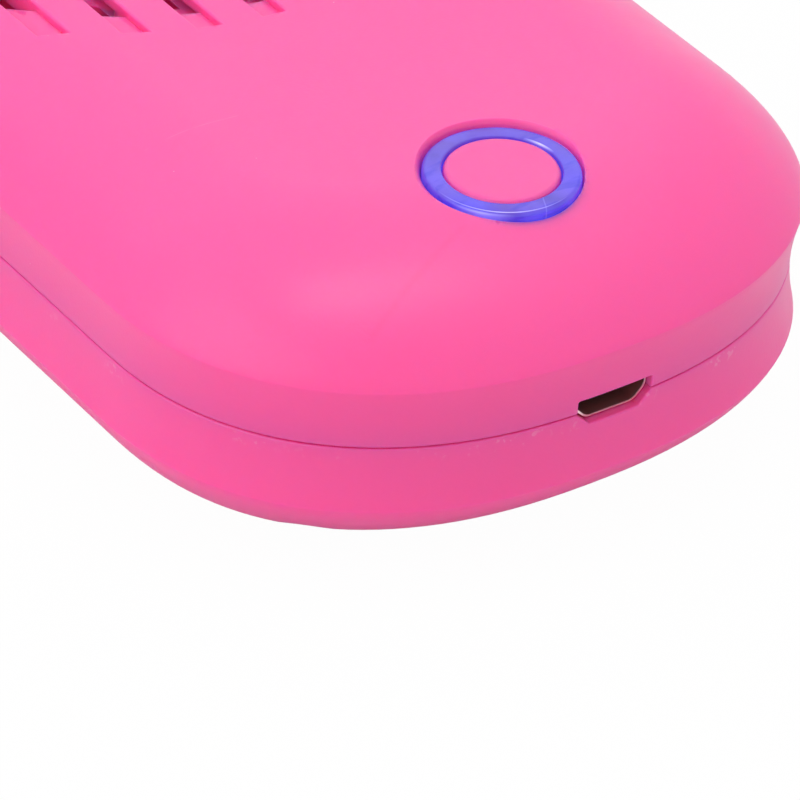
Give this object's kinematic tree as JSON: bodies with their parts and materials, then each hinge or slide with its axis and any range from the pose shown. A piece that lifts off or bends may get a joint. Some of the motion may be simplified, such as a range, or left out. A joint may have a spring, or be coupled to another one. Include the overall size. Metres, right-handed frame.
{
  "type": "handheld blower fan",
  "caption": "Palm-sized blower fan with two domed shells, a slotted intake grille, a lit ring push button, a charging port and a vaned outlet.",
  "frame": {"origin": "centre of the underside, lying on its back", "axes": "+Y towards the air outlet, +Z out of the face with the grille and button, +X across"},
  "size_m": [0.069, 0.1124, 0.0296],
  "materials": {
    "pink_plastic": "fine satin moulded plastic",
    "ring_clear": "clear moulded plastic lit blue from below",
    "white_plastic": "smooth white plastic",
    "black_plastic": "dark moulded plastic",
    "plated_steel": "nickel-plated steel",
    "contact_metal": "gilded and plain brass",
    "board_laminate": "green solder mask",
    "led_lens": "clear resin",
    "ferrite": "dull ferrite",
    "copper_wire": "enamelled copper",
    "ceramic": "fired ceramic",
    "pouch_foil": "laminated foil pouch",
    "foam_tape": "closed-cell foam tape",
    "red_insulation": "lead insulation",
    "black_insulation": "lead insulation"
  },
  "bodies": {
    "housing": {"top_cover": "pink_plastic", "bottom_cover": "pink_plastic", "outlet_grille": "pink_plastic", "battery_socket": "white_plastic", "battery_plug": "white_plastic", "switch_base": "black_plastic", "charger_chip": "black_plastic", "control_chip": "black_plastic", "usb_tongue": "black_plastic", "motor_end_plate": "black_plastic", "switch_frame": "plated_steel", "usb_shell": "plated_steel", "motor_can": "plated_steel", "case_screw_1": "plated_steel", "case_screw_2": "plated_steel", "case_screw_3": "plated_steel", "case_screw_4": "plated_steel", "board_screw_1": "plated_steel", "board_screw_2": "plated_steel", "motor_screw_1": "plated_steel", "motor_screw_2": "plated_steel", "usb_contact_1": "contact_metal", "usb_contact_2": "contact_metal", "usb_contact_3": "contact_metal", "usb_contact_4": "contact_metal", "usb_contact_5": "contact_metal", "motor_bush": "contact_metal", "motor_terminal_1": "contact_metal", "motor_terminal_2": "contact_metal", "circuit_board": "board_laminate", "battery_guard": "board_laminate", "blue_led_1": "led_lens", "blue_led_2": "led_lens", "blue_led_3": "led_lens", "blue_led_4": "led_lens", "inductor_core": "ferrite", "inductor_winding": "copper_wire", "capacitor_1": "ceramic", "capacitor_2": "ceramic", "capacitor_3": "ceramic", "capacitor_4": "ceramic", "battery_cell": "pouch_foil", "battery_tape": "foam_tape", "battery_lead_red": "red_insulation", "motor_lead_red": "red_insulation", "battery_lead_black": "black_insulation", "motor_lead_black": "black_insulation"},
    "button": {"button_cap": "pink_plastic", "light_ring": "ring_clear", "switch_plunger": "black_plastic"},
    "fan_wheel": {"impeller": "pink_plastic", "motor_shaft": "plated_steel", "shaft_washer": "white_plastic"}
  },
  "joints": [
    {"name": "button_press", "type": "slide", "parent": "housing", "child": "button", "axis": [0, 0, -1], "range_m": [0, 0.0005], "stiffness_N_per_m": 3000, "springref_m": -0.0003},
    {"name": "impeller_spin", "type": "hinge", "parent": "housing", "child": "fan_wheel", "pos_m": [0, 0.0165, 0.0148], "axis": [0, 0, 1], "continuous": true}
  ]
}
